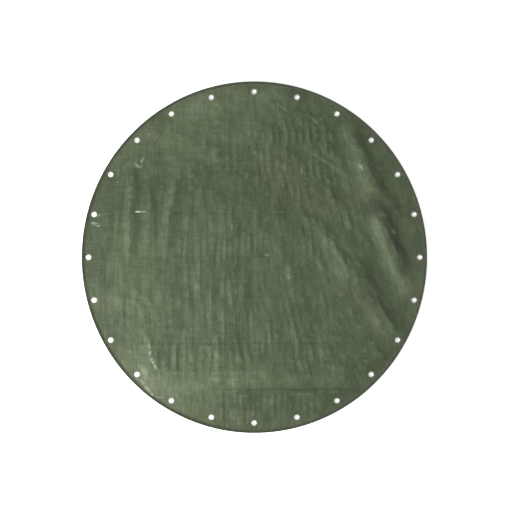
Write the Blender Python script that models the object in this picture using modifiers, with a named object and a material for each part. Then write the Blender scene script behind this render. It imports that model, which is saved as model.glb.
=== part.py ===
"""Round spa cover: a disc of coated woven sheet with a rope in its turned-under hem and a ring of eyelets.

The frame is in metres with +Z up. The origin is the middle of the underside, where the sheet rests.
"""

import math

import bmesh
import bpy
from mathutils import Vector

# Driving sizes, in metres
COVER_DIAMETER = 2.0
OUT_OF_ROUND = 0.0088  # the cut is narrower across X and longer along Y by this share
SHEET_THICKNESS = 0.0004
ROPE_DIAMETER = 0.005
HEM_WIDTH = 0.082
EYELET_COUNT = 24
EYELET_CIRCLE_DIAMETER = 1.9
BORE_RADIUS = 0.008
FLANGE_RADIUS = 0.016
CLEARANCE = 0.0003  # between faces that touch on the real cover

# The eyelet's parts
BARREL_WALL = 0.0006
FLANGE_HEIGHT = 0.0014
CURL_RADIUS = 0.011
CURL_HEIGHT = 0.0007
WASHER_RADIUS = 0.0155
WASHER_THICKNESS = 0.0005
PUNCHED_RADIUS = 0.0091  # of the hole in the sheet and in the washer
SEAT_INNER_RADIUS = 0.0094  # the flange's flat seat lies between these two radii
SEAT_OUTER_RADIUS = 0.0132
MOUTH_DEPTH = 0.0009  # from the seat down to where the bore's flared mouth ends
EDGE_EASE = 0.0004  # how far an outer edge is eased
CURL_TIP_WIDTH = 0.0003

# Radii along the sheet
RISE_START_RADIUS = 0.885  # inside this the sheet lies flat
RISE_END_RADIUS = 0.915
ROPE_SLOPE_RADIUS = 0.978  # outside this the two layers part around the rope

# Heights of the stack at an eyelet, from the floor up
CURL_BOTTOM = 0.0002
CURL_TOP = CURL_BOTTOM + CURL_HEIGHT
WASHER_BOTTOM = CURL_TOP + CLEARANCE
WASHER_TOP = WASHER_BOTTOM + WASHER_THICKNESS
HEM_BOTTOM = WASHER_TOP + CLEARANCE
HEM_TOP = HEM_BOTTOM + SHEET_THICKNESS
SHEET_BOTTOM = HEM_TOP + CLEARANCE
SHEET_TOP = SHEET_BOTTOM + SHEET_THICKNESS
FLANGE_BOTTOM = SHEET_TOP + CLEARANCE
FLANGE_TOP = FLANGE_BOTTOM + FLANGE_HEIGHT

# The rope and the pocket that the hem makes around it
ROPE_RADIUS = ROPE_DIAMETER / 2
POCKET_INNER_RADIUS = ROPE_RADIUS + CLEARANCE
POCKET_OUTER_RADIUS = POCKET_INNER_RADIUS + SHEET_THICKNESS
ROPE_CENTRE_RADIUS = COVER_DIAMETER / 2 - POCKET_OUTER_RADIUS
ROPE_CENTRE_HEIGHT = POCKET_OUTER_RADIUS
POCKET_ANGLES = (130, 90, 45, 0, -45, -90, -130)
ROPE_JOIN_DEG = 277.5  # where the rope's two ends meet, midway between two eyelets
ROPE_END_GAP = 0.012

SHEET_STEPS = 72
EYELET_STEPS = 12
OUTLINE_SCALE = Vector((1 - OUT_OF_ROUND, 1 + OUT_OF_ROUND, 1))
MERGE_DISTANCE = 0.00001
CUTTER_HEIGHT = 0.02

# Base colour, roughness and metallic value of each material
SHEET_FINISH = ((0.109, 0.138, 0.084, 1), 0.42, 0.0)
ROPE_FINISH = ((0.75, 0.75, 0.72, 1), 0.6, 0.0)
ALUMINIUM_FINISH = ((0.80, 0.80, 0.78, 1), 0.3, 1.0)


def clear_scene():
    for obj in list(bpy.data.objects):
        bpy.data.objects.remove(obj, do_unlink=True)


def collection(name):
    made = bpy.data.collections.new(name)
    bpy.context.scene.collection.children.link(made)
    return made


def material(name, finish):
    colour, roughness, metallic = finish
    made = bpy.data.materials.new(name)
    made.use_nodes = True
    shader = made.node_tree.nodes["Principled BSDF"]
    shader.inputs["Base Color"].default_value = colour
    shader.inputs["Roughness"].default_value = roughness
    shader.inputs["Metallic"].default_value = metallic
    made.diffuse_color = colour
    return made


def arc(centre, radius, angles):
    """Points (r, z) on an arc round centre, at these angles in degrees."""
    return [
        (
            centre[0] + radius * math.cos(math.radians(angle)),
            centre[1] + radius * math.sin(math.radians(angle)),
        )
        for angle in angles
    ]


def turned_mesh(name, profile, is_loop):
    """The (r, z) profile as edges in the XZ plane, for a Screw modifier to turn."""
    edges = [(i, i + 1) for i in range(len(profile) - 1)]
    if is_loop:
        edges.append((len(profile) - 1, 0))
    mesh = bpy.data.meshes.new(name)
    mesh.from_pydata([(r, 0, z) for r, z in profile], edges, [])
    return mesh


def turn(obj, steps):
    screw = obj.modifiers.new("turn", "SCREW")
    screw.axis = "Z"
    screw.angle = math.tau
    screw.steps = steps
    screw.render_steps = steps
    screw.use_merge_vertices = True
    screw.merge_threshold = MERGE_DISTANCE


def add_object(name, data, finish, group):
    obj = bpy.data.objects.new(name, data)
    group.objects.link(obj)
    if finish:
        data.materials.append(finish)
    return obj


def sheet_profile():
    """The sheet's section: out along the top, round the rope, back as the hem, home along the underside."""
    rope_centre = (ROPE_CENTRE_RADIUS, ROPE_CENTRE_HEIGHT)
    hem_inner_radius = COVER_DIAMETER / 2 - HEM_WIDTH
    top = [
        (0, SHEET_THICKNESS),
        (RISE_START_RADIUS, SHEET_THICKNESS),
        (RISE_END_RADIUS, SHEET_TOP),
        (ROPE_SLOPE_RADIUS, SHEET_TOP),
    ]
    round_the_rope = arc(rope_centre, POCKET_OUTER_RADIUS, POCKET_ANGLES)
    hem = [
        (ROPE_SLOPE_RADIUS, HEM_BOTTOM),
        (hem_inner_radius, HEM_BOTTOM),
        (hem_inner_radius, HEM_TOP),
        (ROPE_SLOPE_RADIUS, HEM_TOP),
    ]
    pocket = arc(rope_centre, POCKET_INNER_RADIUS, reversed(POCKET_ANGLES))
    underside = [
        (ROPE_SLOPE_RADIUS, SHEET_BOTTOM),
        (RISE_END_RADIUS, SHEET_BOTTOM),
        (RISE_START_RADIUS, 0),
        (0, 0),
    ]
    return top + round_the_rope + hem + pocket + underside


def eyelet_profile():
    """A flange with a flat seat on top, the barrel through the sheet, and the curl that holds the washer."""
    barrel_radius = BORE_RADIUS + BARREL_WALL
    return [
        (SEAT_INNER_RADIUS, FLANGE_TOP),
        (SEAT_OUTER_RADIUS, FLANGE_TOP),
        (FLANGE_RADIUS, FLANGE_BOTTOM + EDGE_EASE),
        (FLANGE_RADIUS, FLANGE_BOTTOM),
        (barrel_radius, FLANGE_BOTTOM),
        (barrel_radius, CURL_TOP),
        (CURL_RADIUS, CURL_TOP),
        (CURL_RADIUS - EDGE_EASE, CURL_BOTTOM),
        (barrel_radius + CURL_TIP_WIDTH, CURL_BOTTOM),
        (BORE_RADIUS, CURL_TOP),
        (BORE_RADIUS, FLANGE_TOP - MOUTH_DEPTH),
    ]


def washer_profile():
    return [
        (PUNCHED_RADIUS, WASHER_TOP),
        (WASHER_RADIUS, WASHER_TOP),
        (WASHER_RADIUS - EDGE_EASE, WASHER_BOTTOM),
        (PUNCHED_RADIUS, WASHER_BOTTOM),
    ]


def eyelet_places():
    """The eyelets' centres, clockwise from +Y as seen from above."""
    radius = EYELET_CIRCLE_DIAMETER / 2
    turns = [math.tau * k / EYELET_COUNT for k in range(EYELET_COUNT)]
    return [Vector((radius * math.sin(t), radius * math.cos(t), 0)) for t in turns]


def punch_cutter(group):
    """One upright cylinder at each eyelet."""
    shapes = bmesh.new()
    for place in eyelet_places():
        made = bmesh.ops.create_cone(
            shapes,
            cap_ends=True,
            segments=EYELET_STEPS,
            radius1=PUNCHED_RADIUS,
            radius2=PUNCHED_RADIUS,
            depth=CUTTER_HEIGHT,
        )
        bmesh.ops.translate(shapes, vec=place, verts=made["verts"])
    mesh = bpy.data.meshes.new("eyelet_punch")
    shapes.to_mesh(mesh)
    shapes.free()
    cutter = add_object("eyelet_punch", mesh, None, group)
    cutter.hide_render = True
    cutter.display_type = "WIRE"
    return cutter


def make_sheet(finish, group, cutter):
    mesh = turned_mesh("cover_sheet", sheet_profile(), is_loop=False)
    sheet = add_object("cover_sheet", mesh, finish, group)
    sheet.scale = OUTLINE_SCALE
    turn(sheet, SHEET_STEPS)
    holes = sheet.modifiers.new("eyelet_holes", "BOOLEAN")
    holes.operation = "DIFFERENCE"
    holes.object = cutter


def make_rope(finish, group):
    """The rope round the hem, with its two ends facing each other across a small gap."""
    step = 360 / SHEET_STEPS
    angles = [math.radians(ROPE_JOIN_DEG + step * (k + 0.5)) for k in range(SHEET_STEPS)]
    centre_line = [
        Vector((ROPE_CENTRE_RADIUS * math.cos(a), ROPE_CENTRE_RADIUS * math.sin(a), ROPE_CENTRE_HEIGHT))
        * OUTLINE_SCALE
        for a in angles
    ]
    first, last = centre_line[0], centre_line[-1]
    join = (first + last) / 2
    half_gap = (first - last).normalized() * ROPE_END_GAP / 2
    stations = [join + half_gap, *centre_line, join - half_gap]
    curve = bpy.data.curves.new("edge_rope", "CURVE")
    curve.dimensions = "3D"
    curve.bevel_depth = ROPE_RADIUS
    curve.bevel_resolution = 2
    curve.use_fill_caps = True
    spline = curve.splines.new("POLY")
    spline.points.add(len(stations) - 1)
    for point, station in zip(spline.points, stations):
        point.co = (*station, 1)
    add_object("edge_rope", curve, finish, group)


def make_ring(kind, mesh, number, place, group):
    ring = add_object(f"{kind}_{number:02d}", mesh, None, group)
    ring.location = place
    turn(ring, EYELET_STEPS)


def make_eyelets(finish, group):
    """An eyelet and its washer at each place, which share one mesh of each kind."""
    eyelet_mesh = turned_mesh("eyelet", eyelet_profile(), is_loop=True)
    washer_mesh = turned_mesh("washer", washer_profile(), is_loop=True)
    for mesh in (eyelet_mesh, washer_mesh):
        mesh.materials.append(finish)
    for number, place in enumerate(eyelet_places(), start=1):
        make_ring("eyelet", eyelet_mesh, number, place, group)
        make_ring("washer", washer_mesh, number, place, group)


def main():
    clear_scene()
    cover = collection("spa_cover")
    cutters = collection("cutters")
    make_sheet(material("coated_sheet", SHEET_FINISH), cover, punch_cutter(cutters))
    make_rope(material("rope_fibre", ROPE_FINISH), cover)
    make_eyelets(material("aluminium", ALUMINIUM_FINISH), cover)


main()
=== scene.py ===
"""Looks of a round spa cover: a creased woven sheet with a rope in its hem, and its ring of eyelets."""

import math

import bpy
import numpy as np
from bpy.props import FloatProperty, FloatVectorProperty, IntProperty, PointerProperty
from bpy.types import Operator, Panel, PropertyGroup
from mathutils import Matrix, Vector
from mathutils.geometry import delaunay_2d_cdt


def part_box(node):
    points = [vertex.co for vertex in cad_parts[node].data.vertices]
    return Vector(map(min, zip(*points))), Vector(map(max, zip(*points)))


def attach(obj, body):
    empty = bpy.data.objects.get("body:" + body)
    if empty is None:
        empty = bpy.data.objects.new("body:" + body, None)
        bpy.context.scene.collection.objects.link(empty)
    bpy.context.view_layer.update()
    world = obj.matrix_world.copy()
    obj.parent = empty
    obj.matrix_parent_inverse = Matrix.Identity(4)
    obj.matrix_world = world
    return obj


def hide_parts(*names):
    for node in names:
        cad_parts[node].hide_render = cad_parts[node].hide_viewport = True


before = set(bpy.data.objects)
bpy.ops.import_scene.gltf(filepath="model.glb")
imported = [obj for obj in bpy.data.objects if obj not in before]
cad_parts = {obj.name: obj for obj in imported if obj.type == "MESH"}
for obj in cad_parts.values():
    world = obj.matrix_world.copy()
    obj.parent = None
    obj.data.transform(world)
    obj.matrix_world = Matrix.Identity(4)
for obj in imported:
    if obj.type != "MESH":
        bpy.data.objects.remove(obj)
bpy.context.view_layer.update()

bl_info = {
    "name": "Round Spa Cover",
    "version": (1, 0, 0),
    "blender": (4, 5, 0),
    "location": "View3D > Sidebar > Spa Cover",
    "description": "Builds the looks of a round woven spa cover around its packed frame",
    "category": "Object",
}

BODY = "root"

# ---- Sizes in metres. The frame gives those of its nodes, and the rest are the cover's own ----

EYELET_NAMES = sorted(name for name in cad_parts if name.startswith("eyelet_"))
WASHER_NAMES = sorted(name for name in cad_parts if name.startswith("washer_"))


def node_box(name):
    return [np.array(corner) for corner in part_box(name)]


OUTLINE = node_box("cover_sheet")[1][:2]  # half axes of the rim
ROPE_LOW, ROPE_HIGH = node_box("edge_rope")
EYELET_LOW, EYELET_HIGH = node_box(EYELET_NAMES[0])
WASHER_LOW, WASHER_HIGH = node_box(WASHER_NAMES[0])
EYELET_CENTRES = np.array([(node_box(name)[0] + node_box(name)[1])[:2] / 2 for name in EYELET_NAMES])

SHEET_THICKNESS = 0.0004
CLEARANCE = 0.0003
HEM_BOTTOM = WASHER_HIGH[2] + CLEARANCE
LAND_TOP = HEM_BOTTOM + 2 * SHEET_THICKNESS + CLEARANCE  # top of the sheet where the eyelets hold it
FLANGE_BOTTOM = LAND_TOP + CLEARANCE
FLANGE_RADIUS = (EYELET_HIGH[0] - EYELET_LOW[0]) / 2
BORE_RADIUS = FLANGE_RADIUS / 2
PUNCHED_RADIUS = BORE_RADIUS + 0.0011  # the barrel's wall and its room in the hole

ROPE_RADIUS = (ROPE_HIGH[2] - ROPE_LOW[2]) / 2
ROPE_HEIGHT = (ROPE_HIGH[2] + ROPE_LOW[2]) / 2
ROPE_REACH = (ROPE_HIGH[:2] - ROPE_LOW[:2]) / 2 - ROPE_RADIUS  # half axes of the rope's centre line
POCKET_INNER = ROPE_RADIUS + CLEARANCE
POCKET_OUTER = POCKET_INNER + SHEET_THICKNESS

HEM_WIDTH = 0.082
HEM_RING = 1 - HEM_WIDTH  # the rings are shares of the outline
LAND_RING = 0.978
GRID_STEP = 0.0102  # between points of the sheet's mesh
RING_POINTS = 640
HOLE_POINTS = 20

ROPE_JOIN_DEG = 277.5  # where the rope's ends meet, counted from +X
ROPE_GAP_DEG = 0.7
ROPE_STRANDS = 3
ROPE_SIDES = 12
SECTIONS_PER_LAY = 9

# The packing folds: lines that the sheet was folded along, as (height above the middle, start, end, rise).
# A positive rise is a ridge and a negative one a valley.
PACKING_FOLDS = (
    (0.7, -0.3, 0.6, 0.001),
    (0.498, -0.1, 0.62, -0.0009),
    (0.258, -0.86, 0.45, 0.0016),
    (0.004, -0.9, 0.85, -0.0007),
    (-0.245, -0.8, 0.7, 0.0008),
    (-0.49, -0.75, 0.72, -0.0012),
    (-0.665, -0.6, 0.1, 0.0014),
    (-0.7, -0.5, 0.6, 0.0016),
    (-0.752, -0.25, 0.7, -0.0034),
)

# Long soft folds: the points of the crest, how high it stands, and how wide its left and right flanks are.
LONG_FOLDS = (
    (((0.6, 0.42), (0.66, 0.32), (0.72, 0.22), (0.77, 0.1), (0.82, 0.00), (0.87, -0.12), (0.92, -0.25)),
     0.0112, 0.048, 0.086),
    (((0.52, 0.88), (0.55, 0.76), (0.6, 0.62), (0.65, 0.5), (0.71, 0.38), (0.8, 0.27), (0.86, 0.2)),
     0.008, 0.042, 0.068),
    (((0.31, 0.25), (0.38, 0.165), (0.45, 0.075), (0.51, -0.03), (0.56, -0.13)), 0.0052, 0.032, 0.042),
    (((0.5, 0.1), (0.55, -0.03), (0.6, -0.14), (0.67, -0.26), (0.74, -0.36), (0.83, -0.44), (0.92, -0.5)),
     0.008, 0.054, 0.06),
    (((0.61, 0.18), (0.65, 0.07), (0.69, -0.03)), 0.003, 0.024, 0.032),
    (((0.44, 0.00), (0.49, -0.09), (0.53, -0.18)), 0.0014, 0.022, 0.024),
    (((0.46, -0.14), (0.54, -0.24), (0.62, -0.34)), 0.0022, 0.02, 0.022),
    (((0.4, 0.44), (0.45, 0.32), (0.5, 0.22)), 0.0022, 0.022, 0.024),
    (((0.48, 0.36), (0.53, 0.24), (0.58, 0.12)), 0.0026, 0.024, 0.024),
    (((0.84, 0.4), (0.88, 0.28), (0.9, 0.16)), 0.0022, 0.022, 0.024),
    (((0.64, -0.44), (0.7, -0.52), (0.74, -0.6)), 0.0022, 0.022, 0.024),
    (((0.26, 0.16), (0.32, 0.07), (0.38, -0.05), (0.42, -0.14)), 0.0028, 0.034, 0.034),
    (((-0.69, 0.58), (-0.71, 0.38), (-0.72, 0.21), (-0.72, 0.04), (-0.71, -0.1)), 0.0046, 0.04, 0.024),
    (((-0.43, 0.58), (-0.45, 0.44), (-0.49, 0.26), (-0.51, 0.12), (-0.51, -0.06)), 0.006, 0.042, 0.028),
    (((-0.585, 0.44), (-0.6, 0.28), (-0.6, 0.1), (-0.59, -0.06)), 0.0028, 0.032, 0.026),
    (((-0.76, -0.14), (-0.7, -0.19), (-0.62, -0.24), (-0.57, -0.32), (-0.55, -0.4)), 0.0016, 0.02, 0.018),
    (((-0.74, -0.22), (-0.66, -0.27), (-0.62, -0.35), (-0.6, -0.44)), 0.0014, 0.022, 0.018),
    (((-0.61, -0.42), (-0.595, -0.52), (-0.57, -0.64)), 0.0034, 0.024, 0.018),
    (((-0.22, -0.64), (-0.2, -0.72), (-0.19, -0.84)), 0.0028, 0.034, 0.028),
    (((0.2, -0.34), (0.24, -0.46), (0.27, -0.58)), 0.0024, 0.024, 0.024),
    (((0.12, 0.14), (0.17, 0.00), (0.24, -0.16), (0.3, -0.3)), 0.0024, 0.034, 0.032),
    (((-0.84, 0.44), (-0.72, 0.62), (-0.6, 0.74), (-0.46, 0.84)), 0.0046, 0.05, 0.07),
    (((0.1, 0.92), (0.14, 0.84), (0.2, 0.78)), 0.0018, 0.018, 0.018),
    (((0.29, 0.88), (0.33, 0.78), (0.38, 0.7)), 0.0018, 0.018, 0.018),
    (((-0.3, 0.8), (-0.24, 0.64), (-0.2, 0.46)), 0.0024, 0.04, 0.04),
    (((0.34, -0.66), (0.52, -0.62), (0.66, -0.52), (0.76, -0.44)), 0.0042, 0.05, 0.055),
    (((0.62, -0.66), (0.7, -0.58), (0.8, -0.54)), 0.0056, 0.045, 0.045),
)

# Patches of ribs that run about along Y: centre, half sizes, wavelength, lean to the right going down, rise,
# and how much they wander.
RIB_PATCHES = (
    ((-0.2, -0.06), (0.36, 0.56), 0.067, 0.00, 0.00105, 0.5),
    ((-0.18, 0.00), (0.34, 0.4), 0.0365, 0.00, 0.00075, 0.5),
    ((-0.22, -0.42), (0.4, 0.2), 0.035, 0.03, 0.00075, 0.7),
    ((-0.33, -0.57), (0.36, 0.12), 0.068, 0.05, 0.0013, 0.8),
    ((-0.64, 0.16), (0.26, 0.42), 0.072, -0.04, 0.0008, 0.8),
    ((0.26, -0.32), (0.34, 0.34), 0.052, 0.28, 0.00075, 1.0),
    ((0.22, 0.58), (0.4, 0.3), 0.046, 0.1, 0.001, 1.0),
    ((0.42, 0.12), (0.34, 0.34), 0.053, 0.22, 0.0008, 1.0),
    ((-0.3, 0.55), (0.34, 0.3), 0.067, -0.05, 0.00075, 1.0),
    ((-0.62, -0.34), (0.26, 0.26), 0.073, 0.06, 0.0008, 0.8),
    ((0.05, -0.87), (0.6, 0.12), 0.038, 0.03, 0.0009, 0.6),
    ((-0.12, -0.56), (0.52, 0.13), 0.046, 0.08, 0.0013, 0.8),
    ((0.26, -0.58), (0.26, 0.12), 0.04, 0.16, 0.0008, 0.8),
    ((0.66, -0.4), (0.26, 0.26), 0.06, 0.6, 0.0006, 1.0),
    ((0.2, 0.695), (0.32, 0.045), 0.043, 0.00, 0.0017, 0.3),
    ((0.28, 0.497), (0.24, 0.04), 0.04, 0.00, 0.0014, 0.3),
)

# Unevenness of the whole sheet: its kind, which streaks() explains, rise, size along X and along Y, and seed.
STREAKS = (
    ("everywhere", 0.005, 0.32, 0.4, 61),
    ("lengthwise", 0.0023, 0.13, 0.22, 67),
    ("left", 0.0011, 0.06, 0.12, 71),
    ("left", 0.0007, 0.032, 0.07, 73),
    ("right", 0.0014, 0.058, 0.066, 76),
    ("right", 0.0008, 0.032, 0.038, 77),
    ("crosswise", 0.003, 0.16, 0.085, 72),
    ("crosswise", 0.0014, 0.07, 0.04, 74),
    ("crosswise", 0.00065, 0.05, 0.024, 75),
)

# Strokes painted paler (above 0) or darker (below 0) into the coating: many are painted light and shade on
# the lit and shaded flanks of the folds and beside the fold lines, the rest lighten and darken broad patches:
# points, half width, and strength.
LIGHT_AND_TONE_STROKES = (
    (((-0.36, 0.88), (-0.1, 0.9), (0.14, 0.9)), 0.085, 1.9),
    (((-0.4, 0.8), (-0.1, 0.8), (0.14, 0.78)), 0.08, 0.6),
    (((-0.22, 0.74), (-0.06, 0.76)), 0.05, 0.7),
    (((0.19, 0.95), (0.23, 0.88), (0.3, 0.82)), 0.04, -0.8),
    (((-0.7, 0.56), (-0.56, 0.72), (-0.36, 0.84)), 0.08, 0.6),
    (((-0.44, 0.66), (-0.24, 0.63), (-0.1, 0.68)), 0.06, 0.7),
    (((-0.91, 0.36), (-0.92, 0.12), (-0.9, -0.08)), 0.08, -2.0),
    (((-0.8, 0.46), (-0.45, 0.36), (-0.05, 0.38), (0.1, 0.3)), 0.11, -0.5),
    (((-0.8, 0.28), (-0.5, 0.2)), 0.09, -0.45),
    (((-0.22, 0.1), (-0.1, -0.1), (-0.08, -0.34)), 0.12, -0.35),
    (((0.05, 0.1), (0.42, 0.02)), 0.07, 0.3),
    (((0.1, -0.1), (0.3, -0.34)), 0.11, -0.3),
    (((-0.72, -0.58), (-0.58, -0.76), (-0.42, -0.84)), 0.095, 1.3),
    # Painted light above the bottom fold line, and painted shade below it.
    (((-0.62, -0.72), (-0.3, -0.73), (0.02, -0.7)), 0.07, 1.6),
    (((-0.1, -0.71), (0.2, -0.71), (0.5, -0.7)), 0.03, 0.7),
    (((-0.14, -0.785), (0.25, -0.79), (0.62, -0.77)), 0.028, -0.7),
    (((-0.02, -0.84), (0.25, -0.86), (0.54, -0.82)), 0.055, -0.4),
    (((-0.29, -0.7), (-0.26, -0.9)), 0.06, 0.35),
    (((0.05, -0.93), (0.36, -0.88), (0.6, -0.74)), 0.06, -0.4),
    (((0.62, -0.66), (0.76, -0.6), (0.84, -0.48)), 0.055, -0.8),
    # Painted shade on the far flanks of the long folds on the right.
    (((0.7, 0.3), (0.77, 0.22), (0.82, 0.12), (0.89, -0.04)), 0.042, -0.9),
    (((0.66, -0.11), (0.72, -0.19), (0.8, -0.32), (0.87, -0.42)), 0.036, -0.9),
    (((0.62, 0.68), (0.7, 0.56), (0.72, 0.44)), 0.06, -0.6),
    # Painted light on the lit flanks of the long folds on the right.
    (((0.69, 0.2), (0.72, 0.1), (0.76, 0.01), (0.83, -0.12), (0.86, -0.2)), 0.033, 2.2),
    (((0.54, 0.74), (0.58, 0.6), (0.625, 0.47), (0.67, 0.38)), 0.036, 1.7),
    (((0.52, 0.5), (0.56, 0.38), (0.58, 0.22)), 0.06, 1.0),
    (((-0.585, 0.66), (-0.585, 0.44), (-0.585, 0.2)), 0.075, -0.8),
    (((-0.9, 0.3), (-0.76, 0.28)), 0.08, -0.5),
    (((-0.46, 0.64), (-0.38, 0.54)), 0.065, 0.9),
    (((-0.6, 0.00), (-0.575, -0.3)), 0.07, 0.8),
    (((0.02, 0.12), (0.12, 0.05)), 0.06, 0.6),
    (((0.36, 0.12), (0.46, 0.04)), 0.06, 0.6),
    (((0.86, -0.02), (0.93, -0.16)), 0.04, 0.6),
    # Narrow painted highlights along the folds.
    (((0.7, 0.21), (0.735, 0.12), (0.748, 0.06), (0.785, -0.03), (0.828, -0.13), (0.86, -0.19)), 0.014, 1.8),
    (((0.365, 0.155), (0.41, 0.1), (0.46, 0.03)), 0.012, 1.3),
    (((0.63, 0.105), (0.645, 0.075), (0.655, 0.045)), 0.012, 1.2),
    (((0.525, 0.32), (0.545, 0.29), (0.565, 0.26)), 0.012, 1.0),
    (((0.6, 0.5), (0.628, 0.43), (0.66, 0.37)), 0.014, 1.4),
    (((-0.3, -0.58), (-0.06, -0.6)), 0.06, 0.6),
    # Painted light on the lit flank of a long fold.
    (((0.48, -0.18), (0.63, -0.28), (0.72, -0.36), (0.8, -0.46)), 0.03, 0.5),
)

# Strokes where the coating has turned olive: points, half width, and strength.
OLIVE_STROKES = (
    (((0.1, 0.52), (0.2, 0.38), (0.36, 0.3)), 0.09, 0.9),
    (((0.58, 0.4), (0.72, 0.28), (0.86, 0.08), (0.9, -0.14)), 0.09, 0.9),
    (((0.5, -0.16), (0.64, -0.32), (0.78, -0.5)), 0.08, 0.6),
    (((-0.86, 0.46), (-0.74, 0.6), (-0.6, 0.74)), 0.07, 0.6),
    (((-0.93, -0.1), (-0.84, -0.48), (-0.62, -0.74)), 0.09, 0.8),
    (((-0.6, 0.74), (-0.36, 0.88), (-0.08, 0.94)), 0.08, 0.7),
    (((-0.6, -0.76), (-0.36, -0.88), (0.00, -0.94)), 0.08, 0.8),
)

# Lines that a packing fold has pressed into the sheet, drawn as a dip in the relief and as painted shade
# along it: height above the middle, start, end, and strength.
SHADED_FOLD_LINES = (
    (0.254, -0.8, 0.5, 0.35),
    (0.004, -0.8, 0.1, 0.25),
    (-0.493, -0.72, 0.7, 0.45),
    (-0.757, -0.27, 0.7, 1.0),
)

# Painted glints: bright dashes painted on a hard packing fold: height above the middle, start, end, strength.
PAINTED_GLINTS = (
    (0.261, -0.688, -0.65, 0.9),
    (0.261, -0.666, -0.616, 0.25),
)

# Rows of painted highlight dots along a packing fold: height above the middle, start and end.
HIGHLIGHT_DOT_ROWS = (
    (-0.663, -0.51, -0.4),
    (-0.661, -0.25, -0.12),
    (-0.664, -0.06, 0.02),
)

# Scuffs and painted glints that whiten the coating: points, half width, and strength.
SCUFFS_AND_GLINTS = (
    (((-0.682, 0.536), (-0.664, 0.52), (-0.65, 0.522)), 0.005, 0.7),
    (((-0.65, 0.548), (-0.636, 0.574)), 0.0045, 0.7),
    (((-0.93, 0.196), (-0.905, 0.19), (-0.892, 0.18)), 0.0055, 0.8),
    (((-0.9, 0.236), (-0.885, 0.244)), 0.0045, 0.5),
    (((0.612, 0.524), (0.618, 0.504)), 0.006, 0.9),
    (((0.598, 0.548), (0.606, 0.516)), 0.004, 0.5),
    (((0.792, 0.152), (0.806, 0.14)), 0.0045, 0.6),
    (((0.128, 0.882), (0.158, 0.858), (0.188, 0.842)), 0.0035, 0.5),
    (((0.322, 0.806), (0.34, 0.786), (0.36, 0.768)), 0.0035, 0.5),
    (((-0.604, -0.5), (-0.6, -0.52)), 0.0045, 0.5),
    (((-0.596, -0.54), (-0.598, -0.556)), 0.005, 0.6),
    (((-0.59, -0.582), (-0.58, -0.604)), 0.0055, 0.8),
    (((-0.572, -0.618), (-0.564, -0.638)), 0.005, 0.9),
    (((-0.648, -0.706), (-0.636, -0.726)), 0.0055, 0.6),
    (((-0.622, -0.742), (-0.606, -0.768), (-0.582, -0.79)), 0.005, 0.8),
    (((-0.552, -0.8), (-0.528, -0.806)), 0.004, 0.6),
    (((0.196, -0.098), (0.2, -0.124)), 0.004, 0.5),
    (((0.066, 0.016), (0.078, 0.01)), 0.004, 0.6),
    (((0.42, 0.11), (0.444, 0.076)), 0.0045, 0.4),
    (((-0.212, -0.69), (-0.208, -0.716)), 0.006, 0.3),
    (((0.268, 0.512), (0.272, 0.486)), 0.005, 0.6),
    (((0.32, 0.6), (0.4, 0.552), (0.476, 0.505)), 0.0035, 0.35),
)


def colour_setting(name, description, default):
    return FloatVectorProperty(
        name=name, description=description, subtype="COLOR", size=3, min=0, max=1, default=default)


def length_setting(name, description, default):
    return FloatProperty(name=name, description=description, unit="LENGTH", min=0.001, default=default)


def factor_setting(name, description, default, highest=1.0):
    return FloatProperty(
        name=name, description=description, subtype="FACTOR", min=0, max=highest, default=default)


class SheetSettings(PropertyGroup):
    # The shade and pale colours span the coating's own uneven green, and also carry the painted light and
    # shade of the tone strokes.
    shade_colour: colour_setting(
        "Shade colour", "Green of the coating in its darker patches", (0.0338, 0.0490, 0.0224))
    pale_colour: colour_setting(
        "Pale colour", "Green of the coating where it is rubbed and paler", (0.0585, 0.0820, 0.0385))
    # The crease colour whitens the creases, and also paints the highlight dots and the light past the pale
    # colour.
    crease_and_highlight_colour: colour_setting("Crease colour", "Whitened coating along hard creases", (0.14, 0.17, 0.115))
    # Painted glints take this colour too.
    scuff_and_glint_colour: colour_setting("Scuff colour", "Coating whitened by a hard scuff", (0.42, 0.46, 0.38))
    # Painted shade over the rope at the rim.
    rim_shade_colour: colour_setting("Rim colour", "Green of the soiled rim over the rope", (0.026, 0.034, 0.018))
    olive_tint: FloatVectorProperty(
        name="Olive tint", description="Factors on red, green and blue where the coating has turned olive",
        size=3, min=0, max=2, default=(1.14, 0.98, 1.10))
    # Painted highlights: spacing of the dots along a packing fold.
    highlight_dot_spacing: length_setting("Dent spacing", "Distance between small dents along a packing fold", 0.0126)
    tape_width: length_setting("Tape width", "Width of one woven tape", 0.0026)
    roughness: factor_setting("Roughness", "Roughness of the coating", 0.44)
    wrinkle_rise: factor_setting("Wrinkle rise", "Scales the height of every wrinkle", 1.0, highest=3.0)


class EyeletSettings(PropertyGroup):
    metal_colour: colour_setting("Metal colour", "Colour of the plated metal", (0.68, 0.69, 0.66))
    roughness: factor_setting("Roughness", "Roughness of the dull flange", 0.50)
    steps: IntProperty(name="Steps", description="Sides of a turned piece", min=16, max=96, default=56)


class RopeSettings(PropertyGroup):
    fibre_colour: colour_setting("Fibre colour", "Colour of the polypropylene fibres", (0.74, 0.74, 0.70))
    lay_length: length_setting("Lay length", "Distance in which a strand makes one turn", 0.024)


class StageSettings(PropertyGroup):
    floor_colour: colour_setting("Floor colour", "Colour of the plain floor", (0.90, 0.90, 0.90))
    floor_glow: factor_setting("Floor glow", "Keeps the floor pale in the cover's shade", 0.65)
    key_power: FloatProperty(
        name="Key power", description="Power of the large soft light", subtype="POWER", min=0, default=1080.0)
    sky_strength: FloatProperty(
        name="Sky strength", description="Strength of the even light from all round", min=0, default=0.45)


# ---- Shader expressions ----


def maths(operation, is_reflected=False):
    """A method that adds this kind of Math node, with another value as its second input or its first."""

    def method(self, other=0.0):
        values = (other, self) if is_reflected else (self, other)
        return self.finish.node("ShaderNodeMath", {"operation": operation}, dict(enumerate(values)))

    return method


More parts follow.
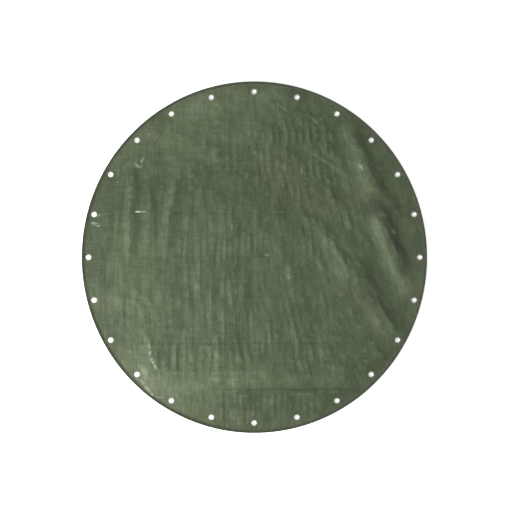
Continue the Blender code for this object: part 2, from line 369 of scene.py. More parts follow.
class Value:
    """A socket of a material. An operator on it adds the Math node that works it out."""

    def __init__(self, finish, socket):
        self.finish = finish
        self.socket = socket

    __add__ = __radd__ = maths("ADD")
    __sub__ = maths("SUBTRACT")
    __rsub__ = maths("SUBTRACT", is_reflected=True)
    __mul__ = __rmul__ = maths("MULTIPLY")
    __truediv__ = maths("DIVIDE")
    __mod__ = maths("FLOORED_MODULO")
    __pow__ = maths("POWER")
    __abs__ = maths("ABSOLUTE")
    floor = maths("FLOOR")
    sine = maths("SINE")
    at_most = maths("MINIMUM")


class Finish:
    """A material in the making. Every node in it comes from node()."""

    def __init__(self, name):
        self.material = bpy.data.materials.new(name)
        self.material.use_nodes = True
        self.tree = self.material.node_tree
        self.shader = self.tree.nodes["Principled BSDF"]

    def fill(self, socket, value):
        """Links a value to a socket, or sets the socket to a number, a vector or an opaque colour."""
        if isinstance(value, Value):
            self.tree.links.new(value.socket, socket)
        elif socket.type == "RGBA":
            socket.default_value = (*value, 1.0)
        else:
            socket.default_value = value

    def node(self, kind, settings=None, inputs=None, output=0):
        """Adds a node of that kind, makes its settings, fills its sockets, and gives one of its outputs."""
        made = self.tree.nodes.new(kind)
        for name, setting in (settings or {}).items():
            setattr(made, name, setting)
        for name, value in (inputs or {}).items():
            self.fill(made.inputs[name], value)
        return Value(self, made.outputs[output])

    def place(self):
        """Where a point of the surface is, in metres."""
        return self.node("ShaderNodeTexCoord", output="Object")

    def split(self, vector):
        made = self.node("ShaderNodeSeparateXYZ", inputs={0: vector})
        return [Value(self, socket) for socket in made.socket.node.outputs]

    def stretched(self, vector, factors):
        return self.node("ShaderNodeVectorMath", {"operation": "MULTIPLY"}, {0: vector, 1: factors})

    def noise(self, vector, scale=1.0, detail=3.0, roughness=0.5):
        """Noise from 0 to 1, near 0.5 on average. Its scale is a number, or one for each axis."""
        if isinstance(scale, tuple):
            vector, scale = self.stretched(vector, scale), 1.0
        return self.node("ShaderNodeTexNoise", None,
                         {"Vector": vector, "Scale": scale, "Detail": detail, "Roughness": roughness})

    def ramp(self, value, low, high):
        """0 up to low, 1 from high, and smooth between them."""
        return self.node("ShaderNodeMapRange", {"interpolation_type": "SMOOTHSTEP"},
                         {"Value": value, "From Min": low, "From Max": high})

    def mix(self, factor, first, second):
        """Between two colours, which are sockets 6 and 7 of the node, and give its output 2."""
        return self.node("ShaderNodeMix", {"data_type": "RGBA"}, {0: factor, 6: first, 7: second}, output=2)

    def attribute(self, name):
        return self.node("ShaderNodeAttribute", {"attribute_name": name}, output="Fac")

    def bump(self, height, distance, below=None):
        """A normal that follows a height, on top of an earlier normal."""
        inputs = {"Height": height, "Distance": distance}
        if below:
            inputs["Normal"] = below
        return self.node("ShaderNodeBump", None, inputs)

    def surface(self, inputs):
        """Fills these sockets of the shader."""
        for name, value in inputs.items():
            self.fill(self.shader.inputs[name], value)


# ---- Shapes in numbers ----


def fade(value, low=0.0, high=1.0):
    """0 up to low, 1 from high, and smooth between them."""
    share = np.clip((value - low) / (high - low), 0, 1)
    return share * share * (3 - 2 * share)


def gradient_noise(x, y, seed):
    """Smooth noise with cells of size 1, from about -1 to 1."""
    size = 128
    turns = np.random.default_rng(seed).uniform(0, math.tau, (size, size))
    column, row = np.floor(x).astype(int), np.floor(y).astype(int)
    dx, dy = x - column, y - row

    def corner(i, j):
        turn = turns[(column + i) % size, (row + j) % size]
        return np.cos(turn) * (dx - i) + np.sin(turn) * (dy - j)

    low = corner(0, 0) + fade(dx) * (corner(1, 0) - corner(0, 0))
    high = corner(0, 1) + fade(dx) * (corner(1, 1) - corner(0, 1))
    return 1.5 * (low + fade(dy) * (high - low))


def smooth_line(points, spacing):
    """Points close together on a smooth curve through the given ones."""
    points = np.array(points, float)
    ends = np.vstack([2 * points[0] - points[1], points, 2 * points[-1] - points[-2]])
    runs = []
    for before, start, end, after in zip(ends, ends[1:], ends[2:], ends[3:]):
        count = max(2, int(np.linalg.norm(end - start) / spacing))
        t = np.linspace(0, 1, count, endpoint=False)[:, None]
        runs.append(
            0.5 * (2 * start + (end - before) * t + (2 * before - 5 * start + 4 * end - after) * t**2
                   + (3 * start - before - 3 * end + after) * t**3)
        )
    return np.vstack([*runs, points[-1:]])


def beside(x, y, line):
    """How far each point is to the right of a line, and its share of the way along the line."""
    lengths = np.linalg.norm(np.diff(line, axis=0), axis=1)
    along = np.concatenate([[0], np.cumsum(lengths)]) / lengths.sum()
    nearest = np.full(x.shape, np.inf)
    offset, share = np.zeros(x.shape), np.zeros(x.shape)
    for start, end, first, last in zip(line, line[1:], along, along[1:]):
        step = end - start
        t = np.clip(((x - start[0]) * step[0] + (y - start[1]) * step[1]) / (step @ step), 0, 1)
        dx, dy = x - start[0] - t * step[0], y - start[1] - t * step[1]
        distance = np.hypot(dx, dy)
        side = np.sign(step[1] * dx - step[0] * dy)
        closer = distance < nearest
        nearest = np.where(closer, distance, nearest)
        offset = np.where(closer, side * distance, offset)
        share = np.where(closer, first + t * (last - first), share)
    return offset, share


def from_eyelets(x, y):
    """How far each point is from the middle of the nearest eyelet."""
    across = x[:, None] - EYELET_CENTRES[:, 0]
    along = y[:, None] - EYELET_CENTRES[:, 1]
    return np.min(np.hypot(across, along), axis=1)


def outline_share(x, y):
    """How far out each point is: 0 in the middle and 1 on the rim."""
    return np.hypot(x / OUTLINE[0], y / OUTLINE[1])


def circle(count, reach=1.0, centre=0.0):
    """Points round a circle, or round an ellipse where its reach differs along X and Y."""
    turns = np.arange(count) * math.tau / count
    return centre + reach * np.column_stack([np.cos(turns), np.sin(turns)])


def crest(offset, left, right):
    """The height across a fold: 1 on the crest, falling evenly over its flanks to a soft foot."""
    away = offset / np.where(offset < 0, left, right)
    tent = 1.42 - np.sqrt(away**2 + 0.42**2)
    return 0.5 * (tent + np.sqrt(tent**2 + 0.04))


# ---- The sheet's wrinkles ----


def rim_lift(turn):
    """How far the rim stands off the floor between eyelets. The eyelets stay down."""
    highest = 0.0034
    midway = np.sin(turn * len(EYELET_NAMES) / 2) ** 2
    return highest * midway * fade(gradient_noise(4 * np.cos(turn), 4 * np.sin(turn), 31), -0.3, 0.9)


def packing_folds(x, y):
    """The lines left by folding, and the slight tilt of the strips between them."""
    reach = 0.011
    wander = 0.006
    strip_width = 0.25
    tilt = 0.0016
    height = np.zeros(x.shape)
    for line, start, end, rise in PACKING_FOLDS:
        offset = y - line - wander * gradient_noise(3 * x, 0 * x + 9 * line, 41)
        inside = fade(x, start - 0.05, start + 0.08) * (1 - fade(x, end - 0.08, end + 0.05))
        uneven = 0.35 + 1.1 * gradient_noise(11 * x, 0 * x + 7 * line, 43)
        height += rise * inside * uneven * np.exp(0.25 - np.sqrt((offset / reach) ** 2 + 0.25**2))
    strips = np.abs((y / strip_width + 0.5) % 2 - 1)
    return height + tilt * (strips - 0.5) * gradient_noise(1.2 * x, 1.7 * y, 47)


def long_folds(x, y):
    wobble = 0.008
    height = np.zeros(x.shape)
    wobble_x = x + wobble * gradient_noise(5 * x, 5 * y, 53)
    wobble_y = y + wobble * gradient_noise(5 * x, 5 * y, 59)
    for points, rise, left, right in LONG_FOLDS:
        offset, share = beside(wobble_x, wobble_y, smooth_line(points, 0.03))
        ends = fade(share, 0, 0.32) * (1 - fade(share, 0.68, 1))
        uneven = 1 + 0.35 * gradient_noise(7 * x, 7 * y, 60)
        height += rise * ends * uneven * crest(offset, left, right)
    return height


def rib(x, y, wavelength, lean, wander, seed):
    """Ribs about along Y that wander, join and fade."""
    across = x + lean * y + 0.3 * wander * wavelength * gradient_noise(7 * x, 3 * y, seed)
    phase = math.tau * across / wavelength + 3.2 * wander * gradient_noise(6 * x, 4 * y, seed + 1)
    strength = 0.55 + 0.9 * gradient_noise(x / (1.6 * wavelength), y / 0.14, seed + 2)
    return np.sin(phase) * np.clip(strength, 0, None)


def ribs(x, y):
    height = np.zeros(x.shape)
    for number, (centre, reach, wavelength, lean, rise, wander) in enumerate(RIB_PATCHES):
        away = np.hypot((x - centre[0]) / reach[0], (y - centre[1]) / reach[1])
        height += rise * (1 - fade(away, 0.35, 1.25)) * rib(x, y, wavelength, lean, wander, 100 + 10 * number)
    return height


def streaks(x, y):
    """Unevenness all over the sheet, each kind with its own strength from place to place.

    All but the crosswise kind run along Y, and lean more and more towards the right side.
    """
    lean = 0.32 * fade(x, -0.1, 0.60) - 0.06 * fade(-x, 0.2, 0.8)
    right = fade(x, 0.10, 0.45)
    lengthwise = 1 - 0.30 * fade(-x, 0.10, 0.50) + 0.5 * fade(x, 0.30, 0.60)
    strengths = {
        "everywhere": 1,
        "lengthwise": lengthwise,
        "left": lengthwise * (1 - 0.6 * right),
        "right": right,
        "crosswise": (0.50 + 0.50 * fade(abs(y), 0.30, 0.55)) * (1 - 0.45 * fade(x, 0.30, 0.60)),
    }
    height = np.zeros(x.shape)
    for kind, rise, width, length, seed in STREAKS:
        across = x if kind == "crosswise" else x + lean * y
        height += rise * strengths[kind] * gradient_noise(across / width, y / length, seed)
    return height


def crumples(x, y):
    """Short sharp creases in all directions."""
    height = np.zeros(x.shape)
    for size, rise, seed in ((0.16, 0.0011, 79), (0.075, 0.0005, 83)):
        ridge = 1 - np.sqrt(gradient_noise(x / size, y / size, seed) ** 2 + 0.003) * 2.2
        height += rise * np.clip(ridge, 0, None) * fade(gradient_noise(x / 0.3, y / 0.3, seed + 1), -0.4, 0.7)
    return height


def hem_puckers(x, y, share):
    """Short puckers square to the rim, where the turned hem gathers the sheet."""
    turn = np.arctan2(y, x)
    edge = np.hypot(x, y) * turn
    near_rim = fade(share, 0.78, 0.90) * (1 - 0.75 * fade(share, 0.955, 0.985))
    finer = fade(-y, 0.4, 0.9)
    wide = gradient_noise(edge / 0.045, share / 0.11, 89)
    narrow = gradient_noise(edge / 0.024, share / 0.11, 97)
    strength = 0.55 + 0.45 * gradient_noise(2.5 * x, 2.5 * y, 101)
    return near_rim * strength * (0.0012 * (1 - finer) * wide + 0.0007 * finer * narrow + 0.0002 * narrow)


def strokes(x, y, drawn):
    """The sum of soft strokes at each point, from -3 to 3."""
    tone = np.zeros(x.shape)
    stray_x = gradient_noise(5 * x, 5 * y, 103) + 0.35 * gradient_noise(16 * x, 11 * y, 107)
    stray_y = gradient_noise(5 * x, 5 * y, 109) + 0.35 * gradient_noise(16 * x, 11 * y, 113)
    for points, reach, strength in drawn:
        offset, _ = beside(x + 0.4 * reach * stray_x, y + 0.4 * reach * stray_y, smooth_line(points, 0.06))
        tone += strength * np.exp(-((offset / reach) ** 2))
    return np.clip(tone, -3, 3)


def highlight_dot_rows(x, y):
    """Where the rows of painted highlight dots are, from 0 to 1."""
    rows = np.zeros(x.shape)
    for line, start, end in HIGHLIGHT_DOT_ROWS:
        inside = fade(x, start - 0.01, start + 0.01) * (1 - fade(x, end - 0.01, end + 0.01))
        rows += inside * np.exp(-(((y - line) / 0.008) ** 2))
    return rows


def scuffs_and_glints(x, y):
    """How whitened the coating is by scuffs and painted glints, from 0 to 1."""
    white = np.zeros(x.shape)
    for points, reach, strength in SCUFFS_AND_GLINTS:
        offset, _ = beside(x, y, smooth_line(points, 0.02))
        white = np.maximum(white, strength * np.exp(-((offset / reach) ** 2)))
    return white


def wrinkled_top(x, y):
    """The height of the sheet's upper face over each point of the floor."""
    slack = 0.0024  # how far the middle stands off the floor on average
    soft = 0.0009  # over this height the sheet settles on the floor
    tight = 0.055  # radius round an eyelet within which the sheet is drawn flat
    bulge, bulge_radius, bulge_width = 0.0005, 0.021, 0.005  # where a flange's pressure pushes the sheet up
    share = outline_share(x, y)
    from_eyelet = from_eyelets(x, y)
    loose = packing_folds(x, y) + long_folds(x, y) + ribs(x, y) + streaks(x, y) + crumples(x, y)
    rise = bpy.context.scene.cover_sheet.wrinkle_rise
    free = 1 - 0.72 * fade(share, 0.86, 0.975)
    wrinkles = rise * (free * loose + hem_puckers(x, y, share)) * fade(from_eyelet, FLANGE_RADIUS, tight)
    lying = slack * (1 - fade(share, 0.80, HEM_RING)) + SHEET_THICKNESS
    held = (LAND_TOP - SHEET_THICKNESS) * fade(share, 0.78, HEM_RING)
    lift = rim_lift(np.arctan2(x, y)) * fade(share, 0.86, LAND_RING)
    pushed_up = bulge * np.exp(-(((from_eyelet - bulge_radius) / bulge_width) ** 2))
    height = lying + held + lift + wrinkles + pushed_up
    floor = SHEET_THICKNESS + 2 * SHEET_THICKNESS * fade(share, 0.88, HEM_RING)
    return floor + soft * np.logaddexp(0, (height - floor) / soft)


# ---- The sheet's mesh ----


def flat_pattern():
    """The sheet inside its rim as points and triangles in the plane, with its named loops of points."""
    half = 1.1  # of the square that the grid covers
    margin = 0.006  # between the grid and the hem, as a share of the outline
    gap = 0.003  # from an eyelet's hole or flange to the next points out
    inset = 0.0005  # from the flange's edge in to the points that hold the sheet flat under it
    hem_rings = 8
    row_step = GRID_STEP * math.sqrt(0.75)
    grid = np.array([
        ((column + 0.5 * (row % 2)) * GRID_STEP - half, row * row_step - half)
        for row in range(int(2 * half / row_step)) for column in range(int(2 * half / GRID_STEP))
    ])
    grid = grid[outline_share(*grid.T) < HEM_RING - margin]
    rings = [circle(RING_POINTS, share * OUTLINE) for share in np.linspace(HEM_RING, LAND_RING, hem_rings)]
    filling = np.vstack([grid, *rings[1:-1]])
    filling = filling[from_eyelets(*filling.T) > FLANGE_RADIUS + gap]
    points, edges, loops = [filling], [], {}
    count = len(filling)
    named = {"hem": rings[0], "land": rings[-1]}
    for name, centre in zip(EYELET_NAMES, EYELET_CENTRES):
        named[name] = circle(HOLE_POINTS, PUNCHED_RADIUS, centre)
    for name, loop in named.items():
        loops[name] = np.arange(count, count + len(loop))
        edges += zip(loops[name], np.roll(loops[name], -1))
        points.append(loop)
        count += len(loop)
    for centre in EYELET_CENTRES:
        for radius in (PUNCHED_RADIUS + gap, FLANGE_RADIUS - inset):
            points.append(circle(HOLE_POINTS, radius, centre))
    points = np.vstack(points)
    edges = [(int(a), int(b)) for a, b in edges]
    cut = delaunay_2d_cdt([Vector(point) for point in points], edges, [], 0, 1e-7)
    if len(cut[0]) != len(points):
        raise RuntimeError("the flat pattern's points merged")
    triangles = np.array(cut[2])
    middles = points[triangles].mean(axis=1)
    return points, triangles[from_eyelets(*middles.T) > PUNCHED_RADIUS * 0.99], loops


class Layers:
    """Vertices and faces of one mesh, gathered layer by layer."""

    def __init__(self):
        self.points, self.faces, self.count = [], [], 0

    def add_points(self, points):
        """Gives the new points' numbers."""
        self.points.append(points)
        self.count += len(points)
        return np.arange(self.count - len(points), self.count)

    def add_band(self, first, second):
        """Quads between two loops of points, facing as (along the band) x (round the loop)."""
        after, beyond = np.roll(first, -1), np.roll(second, -1)
        self.faces += np.column_stack([first, second, beyond, after]).tolist()

    def mesh(self, name):
        made = bpy.data.meshes.new(name)
        made.from_pydata(np.vstack(self.points).tolist(), [], self.faces)
        made.validate()
        made.shade_smooth()
        made.set_sharp_from_angle(angle=math.radians(50))
        return made


def pocket_loop(radius, angle, lift):
    """A loop of points round the rim, on the pocket's arc at that angle from level, outwards."""
    reach = ROPE_REACH + radius * math.cos(math.radians(angle))
    height = ROPE_HEIGHT + radius * math.sin(math.radians(angle)) + lift
    return np.column_stack([circle(RING_POINTS, reach), height])


def between(loop, other, count):
    """Loops that lead smoothly from one loop of points to another."""
    bent = []
    for step in np.arange(1, count + 1) / (count + 1):
        middle = loop + (other - loop) * step
        middle[:, 2] = loop[:, 2] + (other[:, 2] - loop[:, 2]) * fade(step)
        bent.append(middle)
    return bent


def sheet_mesh():
    """The sheet as one closed mesh: its face, the turned hem, and its underside back to the middle."""
    plan, triangles, loops = flat_pattern()
    top = wrinkled_top(plan[:, 0], plan[:, 1])
    in_hem = outline_share(*plan.T) > HEM_RING - 1e-4
    hem_order = np.cumsum(in_hem) - 1
    hem_faces = hem_order[triangles[in_hem[triangles].all(axis=1)]]
    hem_loops = {name: hem_order[loop] for name, loop in loops.items()}
    land_lift = rim_lift(np.arctan2(*plan[loops["land"]].T))

    layers = Layers()
    face = layers.add_points(np.column_stack([plan, top]))
    under = layers.add_points(np.column_stack([plan, top - SHEET_THICKNESS]))
    hem_plan = plan[in_hem]
    hem_top = top[in_hem] - SHEET_THICKNESS - CLEARANCE
    hem_face = layers.add_points(np.column_stack([hem_plan, hem_top]))
    hem_under = layers.add_points(np.column_stack([hem_plan, hem_top - SHEET_THICKNESS]))
    for upper, lower, faces in ((face, under, triangles), (hem_face, hem_under, hem_faces)):
        layers.faces += upper[faces].tolist() + lower[faces[:, ::-1]].tolist()

    def wall(upper, lower, loop):
        layers.add_band(upper[loop[::-1]], lower[loop[::-1]])

    for name in EYELET_NAMES:
        wall(face, under, loops[name])
        wall(hem_face, hem_under, hem_loops[name])
    wall(hem_face, hem_under, hem_loops["hem"])

    def wrap(start, end, radius, angles):
        arcs = [pocket_loop(radius, angle, land_lift) for angle in angles]
        positions = np.vstack(layers.points)
        first, last = positions[start], positions[end]
        stations = between(first, arcs[0], 2) + arcs + between(last, arcs[-1], 2)[::-1]
        previous = start
        for station in stations:
            numbers = layers.add_points(station)
            layers.add_band(previous, numbers)
            previous = numbers
        layers.add_band(previous, end)

    reach = 122  # degrees from level at which the arcs round the rope begin and end
    wrap(face[loops["land"]], hem_under[hem_loops["land"]], POCKET_OUTER, np.linspace(reach, -reach, 11))
    wrap(hem_face[hem_loops["land"]], under[loops["land"]], POCKET_INNER, np.linspace(-reach, reach, 7))
    return layers.mesh("cover_sheet_shape")


# ---- Turned and laid shapes ----


def turned_mesh(name, profile, steps):
    """A closed ring turned about Z. The profile's (r, z) points run down its outer side."""
    layers = Layers()
    loops = [layers.add_points(np.column_stack([circle(steps, r), np.full(steps, z)])) for r, z in profile]
    for upper, lower in zip(loops, loops[1:] + loops[:1]):
        layers.add_band(upper, lower)
    return layers.mesh(name)


def arc(centre, radius, start, end, count):
    """Points (r, z) on an arc, its angles in degrees from level outwards."""
    angles = np.radians(np.linspace(start, end, count))
    return [(centre[0] + radius * math.cos(a), centre[1] + radius * math.sin(a)) for a in angles]


def eyelet_profile():
    """The pressed eyelet: a domed flange with a rolled edge, the barrel, and the curl under the washer."""
    top, bottom = EYELET_HIGH[2], EYELET_LOW[2]
    edge = 0.0005
    throat = 0.0016
    barrel = PUNCHED_RADIUS - 0.0005
    curl = 0.0011
    tip = 0.00035
    ease = 0.0004
    falls = ((0.72, 0.00004), (0.80, 0.00014), (0.88, 0.00034), (0.94, 0.00058))  # share of the radius, fall
    dome = [(FLANGE_RADIUS * out, top - fall) for out, fall in falls]
    rolled = arc((FLANGE_RADIUS - edge, FLANGE_BOTTOM + edge), edge, 55, -90, 6)
    under = [(barrel + 2 * ease, FLANGE_BOTTOM), (barrel, FLANGE_BOTTOM - ease)]
    gripping = [(barrel, WASHER_LOW[2] - ease), (barrel + 1.5 * ease, WASHER_LOW[2] - CLEARANCE)]
    curled = arc((barrel + curl, bottom + tip), tip, 80, -90, 5)
    inside = [(barrel + ease / 2, bottom), (BORE_RADIUS + ease / 4, bottom + edge)]
    mouth = arc((BORE_RADIUS + throat, top - throat), throat, 180, 90, 7)
    return dome + rolled + under + gripping + curled + inside + mouth


def washer_profile():
    """A pressed washer, with a groove round its underside and its edges eased."""
    low, high = WASHER_LOW[2], WASHER_HIGH[2]
    inner, outer = PUNCHED_RADIUS, (WASHER_HIGH[0] - WASHER_LOW[0]) / 2
    ease = 0.00012
    middle = 0.5 * (inner + outer)
    foot, crown = 0.0009, 0.0005  # half widths of the groove
    return [
        (inner, high - ease), (inner + ease, high), (middle, high), (outer - ease, high),
        (outer, high - ease), (outer, low + ease), (outer - ease, low),
        (middle + foot, low), (middle + crown, low + ease), (middle - crown, low + ease),
        (middle - foot, low), (inner + ease, low), (inner, low + ease),
    ]


def rope_mesh(lay_length):
    """A three-strand laid rope round the hem, its two ends facing each other across a small gap."""
    gap = math.radians(ROPE_GAP_DEG)
    mean_reach = ROPE_REACH.mean()
    length = (math.tau - gap) * mean_reach
    count = int(length / lay_length * SECTIONS_PER_LAY)
    turns = math.radians(ROPE_JOIN_DEG) + gap / 2 + np.linspace(0, math.tau - gap, count)
    outwards = np.column_stack([np.cos(turns), np.sin(turns)])
    centre = np.column_stack([ROPE_REACH * outwards, ROPE_HEIGHT + rim_lift(math.pi / 2 - turns)])
    twist = (math.tau * (turns - turns[0]) * mean_reach / lay_length)[:, None]
    angle = np.arange(ROPE_SIDES) * math.tau / ROPE_SIDES + twist / ROPE_STRANDS
    lobes = ROPE_RADIUS * (0.86 + 0.13 * np.cos(ROPE_STRANDS * (angle - twist)))
    level, upright = (lobes * np.cos(angle))[:, :, None], (lobes * np.sin(angle))[:, :, None]
    points = centre[:, None, :] + np.concatenate([level * outwards[:, None, :], upright], axis=2)
    layers = Layers()
    loops = [layers.add_points(section) for section in points]
    for first, second in zip(loops, loops[1:]):
        layers.add_band(second, first)
    layers.faces.append(loops[0].tolist())
    layers.faces.append(loops[-1][::-1].tolist())
    return layers.mesh("edge_rope_shape")


# ---- Materials ----


def level_marks(finish, x, y, marks, reach, taper):
    """How much of these marks along X there is at each point. They fade sideways, and taper to each end."""
    marked = 0.0
    for line, start, end, strength in marks:
        along = finish.ramp(x, start, start + taper) * (1.0 - finish.ramp(x, end - taper, end))
        across = 1.0 - finish.ramp(abs(y - line), 0.0, reach)
        marked = marked + strength * along * across
    return marked


def woven_tapes(x, y, width):
    """The height of a plain weave of rounded tapes, from 0 to 1."""
    warp, weft = x / width, y / width
    over = (warp.floor() + weft.floor()) % 2.0
    warp_round = abs((warp * math.pi).sine())
    weft_round = abs((weft * math.pi).sine())
    return warp_round * (0.35 + 0.65 * over) + weft_round * (1.0 - 0.65 * over)


def coated_weave(look):
    """Satin coating over woven tapes, in a green that is uneven, rubbed and whitened along its creases, and
    painted with light, shade and glints.
    """
    finish = Finish("coated_weave")
    place = finish.place()
    x, y, _ = finish.split(place)

    # Unevenness of several sizes. Towards the right side it leans and gets shorter.
    right = finish.ramp(x, -0.1, 0.6)
    leaning = {"X": 56.0 * (x + 0.24 * right * y), "Y": (7.0 + 9.0 * right) * y}
    streak = finish.noise(finish.node("ShaderNodeCombineXYZ", None, leaning), detail=1.5)
    cross = 0.5 + (finish.noise(place, (9.0, 64.0, 1.0), detail=2.0) - 0.5) * (1.0 - 0.6 * right)
    mottle = finish.noise(place, (44.0, 34.0, 1.0), detail=2.0)
    patches = finish.noise(place, (3.1, 2.6, 1.0), detail=4.0)
    blotches = finish.noise(place, (14.0, 9.0, 1.0), detail=5.0, roughness=0.6)
    speckle = finish.noise(place, (110.0, 60.0, 1.0))
    ripple = (1.0 - finish.ramp(y, -0.5, -0.2)) * finish.noise(place, (88.0, 20.0, 1.0), detail=1.0)

    # The green, from its shaded to its pale and then still paler patches, with painted light and shade from
    # the tone strokes and painted shade along the fold lines, and where it has turned olive.
    # Painted shade along the fold lines, which also dip the relief.
    pressed = level_marks(finish, x, y + 0.006 * (blotches - 0.5), SHADED_FOLD_LINES, reach=0.011, taper=0.12)
    uneven = 0.5 * patches + 0.6 * blotches + 0.30 * streak + 0.20 * cross + 0.4 * mottle - 0.5
    # The tone attribute brings in the painted light and shade of the strokes.
    tone = uneven + 0.16 * finish.attribute("tone") - 0.20 * pressed
    green = finish.mix(finish.ramp(tone, 0.22, 0.78), look.shade_colour, look.pale_colour)
    # Painted light as well as the coating's own pale patches: where the tone runs past the pale colour, the
    # green goes still paler.
    paler_than_pale = finish.ramp(tone, 0.70, 1.00)
    out = ((x / OUTLINE[0]) ** 2.0 + (y / OUTLINE[1]) ** 2.0) ** 0.5
    olive = (finish.attribute("olive") + finish.ramp(out, 0.94, 0.98)).at_most(1.0)
    tinted = finish.stretched(green, look.olive_tint)
    green = finish.mix(olive * finish.ramp(blotches, 0.2, 0.7), green, tinted)

    # Whitened creases, painted highlight dots along a fold, scuffs and painted glints, and painted shade over
    # the rim.
    rubbed = finish.ramp(finish.attribute("wear") * (0.35 + speckle), 0.30, 0.95)
    # Painted highlight dots along a packing fold.
    highlight_dot = finish.ramp(abs((x * (math.pi / look.highlight_dot_spacing)).sine()), 0.45, 0.9)
    whitened = 0.24 * rubbed + 0.42 * (finish.attribute("highlight_dots") * highlight_dot) + 0.28 * paler_than_pale
    # Scuffs and painted glints whiten the coating here.
    scuff_and_glint = 0.6 * (finish.attribute("scuffs_and_glints") * finish.ramp(speckle, 0.25, 0.60))
    # Painted glint: a bright dash on a hard packing fold.
    painted_glint = level_marks(finish, x, y, PAINTED_GLINTS, reach=0.0070, taper=0.014)
    green = finish.mix(whitened, green, look.crease_and_highlight_colour)
    green = finish.mix((scuff_and_glint + painted_glint).at_most(1.0), green, look.scuff_and_glint_colour)
    # Painted shade: the rim over the rope is darkened all round.
    rim = finish.ramp(out + 0.006 * (blotches - 0.5), 0.978, 0.990)

    relief = streak + 0.9 * cross + 0.8 * mottle + 0.6 * ripple - 0.5 * pressed
    drawn = finish.bump(relief, distance=0.0012)
    fine = finish.bump(finish.noise(place, 96.0, detail=1.5), distance=0.0006, below=drawn)
    finish.surface({
        "Base Color": finish.mix(0.85 * rim, green, look.rim_shade_colour),
        "Roughness": look.roughness + 0.16 * (blotches - 0.5) + 0.10 * (streak - 0.5),
        "Specular IOR Level": 0.5,
        "Normal": finish.bump(woven_tapes(x, y, look.tape_width), distance=0.0001, below=fine),
    })
    return finish.material


def plated_metal(look):
    """Bright plated metal with a little haze and fine handling marks."""
    finish = Finish("plated_metal")
    place = finish.node("ShaderNodeNewGeometry", output="Position")
    haze = finish.noise(place, 420.0)
    marks = finish.noise(place, (2600.0, 500.0, 900.0), detail=2.0)
    dull = finish.ramp(haze, 0.35, 0.75)
    grey = [channel * 0.86 for channel in look.metal_colour]
    finish.surface({
        "Base Color": finish.mix(dull, look.metal_colour, grey),
        "Metallic": 1.0,
        "Roughness": look.roughness + 0.14 * dull + 0.08 * marks,
        "Normal": finish.bump(marks + haze, distance=0.00003),
    })
    return finish.material


def laid_fibre(look):
    """Matt polypropylene fibres that follow the strands."""
    finish = Finish("laid_fibre")
    place = finish.place()
    fibres = finish.noise(place, (1900.0, 1900.0, 700.0))
    soil = finish.noise(place, 40.0)
    soiled = [channel * 0.78 for channel in look.fibre_colour]
    finish.surface({
        "Base Color": finish.mix(finish.ramp(soil + 0.4 * fibres, 0.55, 0.95), look.fibre_colour, soiled),
        "Roughness": 0.55 + 0.2 * fibres,
        "Normal": finish.bump(fibres, distance=0.0002),
    })
    return finish.material


# ---- Pieces ----


def add_piece(name, mesh, material, node):
    """A piece of the cover in place of its node."""
    piece = bpy.data.objects.new(name, mesh)
    bpy.context.scene.collection.objects.link(piece)
    if not mesh.materials:
        mesh.materials.append(material)
    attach(piece, BODY)
    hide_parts(node)
    return piece


def keep_attribute(mesh, name, values):
    mesh.attributes.new(name, "FLOAT", "POINT").data.foreach_set("value", values)


def mark_wear_and_painted_light(mesh):
    """Keeps on each point how sharply the sheet bends there, how its coating has aged, and where light,
    shade, glints and highlight dots are painted on it.
    """
    full_wear = 0.00035  # how far a point stands above its neighbours where a crease is fully whitened
    count = len(mesh.vertices)
    co = np.empty(count * 3)
    mesh.vertices.foreach_get("co", co)
    x, y, height = co.reshape(-1, 3).T
    edges = np.empty(len(mesh.edges) * 2, int)
    mesh.edges.foreach_get("vertices", edges)
    start, end = edges.reshape(-1, 2).T
    neighbours = np.bincount(start, minlength=count) + np.bincount(end, minlength=count)
    total = np.bincount(start, height[end], count) + np.bincount(end, height[start], count)
    bend = height - total / np.maximum(neighbours, 1)
    keep_attribute(mesh, "wear", np.clip(bend / full_wear, 0, 1))
    # Painted light and shade, with broad paler and darker patches.
    keep_attribute(mesh, "tone", strokes(x, y, LIGHT_AND_TONE_STROKES))
    keep_attribute(mesh, "olive", strokes(x, y, OLIVE_STROKES))
    keep_attribute(mesh, "highlight_dots", highlight_dot_rows(x, y))
    keep_attribute(mesh, "scuffs_and_glints", scuffs_and_glints(x, y))


class SPACOVER_OT_sheet(Operator):
    """Lay the wrinkled sheet with its turned hem"""

    bl_idname = "spacover.sheet"
    bl_label = "Sheet"

    def execute(self, context):
        mesh = sheet_mesh()
        mark_wear_and_painted_light(mesh)
        look = context.scene.cover_sheet
        sheet = add_piece("cover_cloth", mesh, coated_weave(look), "cover_sheet")
        return {"FINISHED"}


class SPACOVER_OT_eyelets(Operator):
    """Set an eyelet and its washer at each place"""

    bl_idname = "spacover.eyelets"
    bl_label = "Eyelets"

    def execute(self, context):
        look = context.scene.cover_eyelets
        metal = plated_metal(look)
        turn = 2.4  # from one eyelet to the next, so that no two lie alike
        eyelet = turned_mesh("eyelet_shape", eyelet_profile(), look.steps)
        washer = turned_mesh("washer_shape", washer_profile(), look.steps)
        for number, (x, y) in enumerate(EYELET_CENTRES):
            for mesh, node, slot in (
                (eyelet, EYELET_NAMES[number], "eyelet_metal"),
                (washer, WASHER_NAMES[number], "washer_metal"),
            ):
                piece = add_piece(f"pressed_{node}", mesh, metal, node)
                piece.location = (x, y, 0)
                piece.rotation_euler.z = turn * number
        return {"FINISHED"}


class SPACOVER_OT_rope(Operator):
    """Lay the rope in the hem"""

    bl_idname = "spacover.rope"
    bl_label = "Rope"

    def execute(self, context):
        look = context.scene.cover_rope
        add_piece("laid_rope", rope_mesh(look.lay_length), laid_fibre(look), "edge_rope")
        return {"FINISHED"}


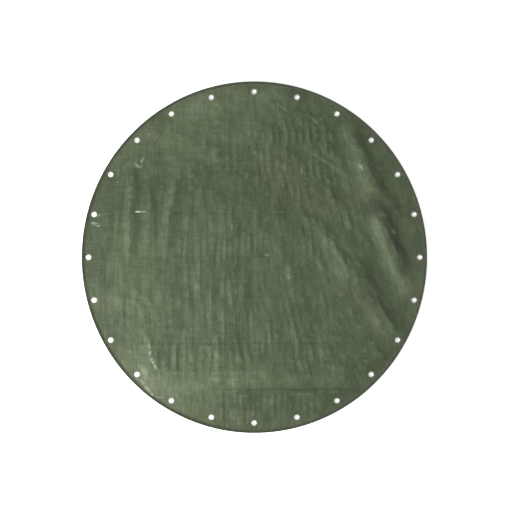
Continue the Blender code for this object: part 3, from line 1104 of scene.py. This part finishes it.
def plain_floor(look):
    """A pale floor that glows a little, so that the cover casts hardly any shade on it."""
    finish = Finish("plain_floor")
    finish.surface({
        "Base Color": look.floor_colour,
        "Roughness": 0.9,
        "Specular IOR Level": 0.1,
        "Emission Color": look.floor_colour,
        "Emission Strength": look.floor_glow,
    })
    return finish.material


def add_light(name, place, size, power):
    """A square light at a place, aimed at the middle of the cover."""
    light = bpy.data.lights.new(name, "AREA")
    light.size = size
    light.energy = power
    made = bpy.data.objects.new(name, light)
    made.location = place
    made.rotation_euler = (-Vector(place)).to_track_quat("-Z", "Y").to_euler()
    bpy.context.scene.collection.objects.link(made)


class SPACOVER_OT_stage(Operator):
    """Put the floor, the lights and the camera in place"""

    bl_idname = "spacover.stage"
    bl_label = "Stage"

    def execute(self, context):
        look = context.scene.cover_stage
        scene = context.scene
        half = 40.0  # of the floor's sides
        corners = [(-half, -half, 0), (half, -half, 0), (half, half, 0), (-half, half, 0)]
        mesh = bpy.data.meshes.new("floor_shape")
        mesh.from_pydata(corners, [], [(0, 1, 2, 3)])
        mesh.materials.append(plain_floor(look))
        floor = bpy.data.objects.new("floor", mesh)
        scene.collection.objects.link(floor)

        sky = bpy.data.worlds.new("soft_sky")
        sky.use_nodes = True
        background = sky.node_tree.nodes["Background"]
        background.inputs["Color"].default_value = (1, 1, 1, 1)
        background.inputs["Strength"].default_value = look.sky_strength
        scene.world = sky
        scene.view_settings.view_transform = "Standard"
        add_light("key_light", place=(-5.0, -2.3, 2.5), size=1.8, power=look.key_power)

        lens = bpy.data.cameras.new("camera")
        lens.lens = 100
        lens.clip_end = 200
        camera = bpy.data.objects.new("camera", lens)
        camera.location = (0.004, 0.013, 8.13)  # straight above, looking down
        scene.collection.objects.link(camera)
        scene.camera = camera
        return {"FINISHED"}


class SPACOVER_PT_panel(Panel):
    bl_label = "Round Spa Cover"
    bl_space_type = "VIEW_3D"
    bl_region_type = "UI"
    bl_category = "Spa Cover"

    def draw(self, context):
        for operator in OPERATORS:
            self.layout.operator(operator.bl_idname)
        for group in SETTINGS:
            box = self.layout.box()
            settings = getattr(context.scene, group)
            for name in settings.bl_rna.properties.keys():
                if name not in ("rna_type", "name"):
                    box.prop(settings, name)


SETTINGS = {
    "cover_sheet": SheetSettings,
    "cover_eyelets": EyeletSettings,
    "cover_rope": RopeSettings,
    "cover_stage": StageSettings,
}
OPERATORS = (SPACOVER_OT_stage, SPACOVER_OT_sheet, SPACOVER_OT_eyelets, SPACOVER_OT_rope)


def register():
    for cls in (*SETTINGS.values(), *OPERATORS, SPACOVER_PT_panel):
        bpy.utils.register_class(cls)
    for name, group in SETTINGS.items():
        setattr(bpy.types.Scene, name, PointerProperty(type=group))


def unregister():
    for name in SETTINGS:
        delattr(bpy.types.Scene, name)
    for cls in reversed((*SETTINGS.values(), *OPERATORS, SPACOVER_PT_panel)):
        bpy.utils.unregister_class(cls)


def main():
    register()
    bpy.ops.spacover.stage()
    bpy.ops.spacover.sheet()
    bpy.ops.spacover.eyelets()
    bpy.ops.spacover.rope()


if __name__ == "__main__":
    main()
